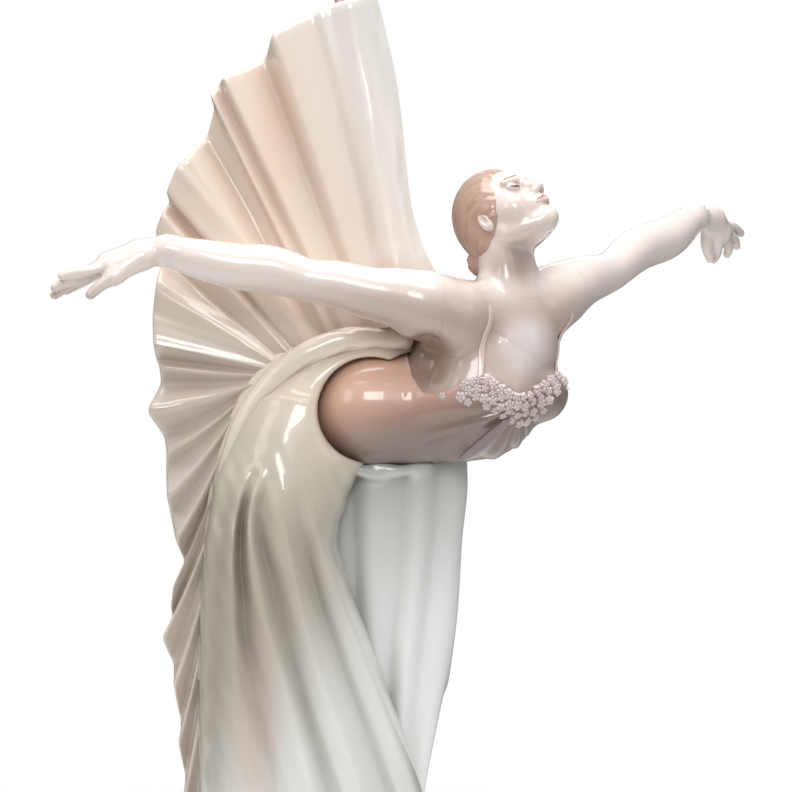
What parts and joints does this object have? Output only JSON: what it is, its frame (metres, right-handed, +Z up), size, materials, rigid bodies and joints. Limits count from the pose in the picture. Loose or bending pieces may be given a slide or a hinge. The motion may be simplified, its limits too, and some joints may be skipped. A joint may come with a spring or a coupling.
{
  "type": "porcelain dancer figurine",
  "caption": "Glazed porcelain ballet dancer leaning forward with arms spread and one leg raised behind under a pleated fan of skirt, on a low oval plinth",
  "frame": {"origin": "centre of the oval plinth's underside, on the plane it stands on", "axes": "+Z up, +X the way the torso leans, +Y towards the far arm, so the near arm is on the -Y side"},
  "size_m": [0.3155, 0.2116, 0.45],
  "materials": {
    "white_glaze": "clear gloss glaze over white porcelain",
    "skin_glaze": "clear gloss glaze over a pale skin tint",
    "hair_glaze": "clear gloss glaze over a tan brown stain",
    "bodice_glaze": "gloss glaze over a mauve brown ground",
    "skirt_glaze": "clear gloss glaze over sprayed grey and pink blushes",
    "ribbon_glaze": "gloss glaze over a dark grey mauve stain",
    "flower_glaze": "gloss glaze over a pale lilac tint"
  },
  "bodies": {
    "root": {"base_plinth": "white_glaze", "standing_slipper": "bodice_glaze", "skirt_front": "skirt_glaze", "skirt_far_panel": "skirt_glaze", "skirt_train": "skirt_glaze", "skirt_fan": "skirt_glaze", "skirt_hip_wrap": "skirt_glaze", "raised_slipper": "bodice_glaze", "bodice": "bodice_glaze", "bodice_ribbon": "ribbon_glaze", "bodice_flowers": "flower_glaze", "bodice_beads": "flower_glaze", "right_strap": "skin_glaze", "left_strap": "skin_glaze", "upper_chest": "skin_glaze", "neck": "skin_glaze", "head": "skin_glaze", "hair_cap": "hair_glaze", "hair_bun": "hair_glaze", "right_arm": "skin_glaze", "right_hand": "skin_glaze", "left_arm": "skin_glaze", "left_hand": "skin_glaze"}
  },
  "joints": []
}
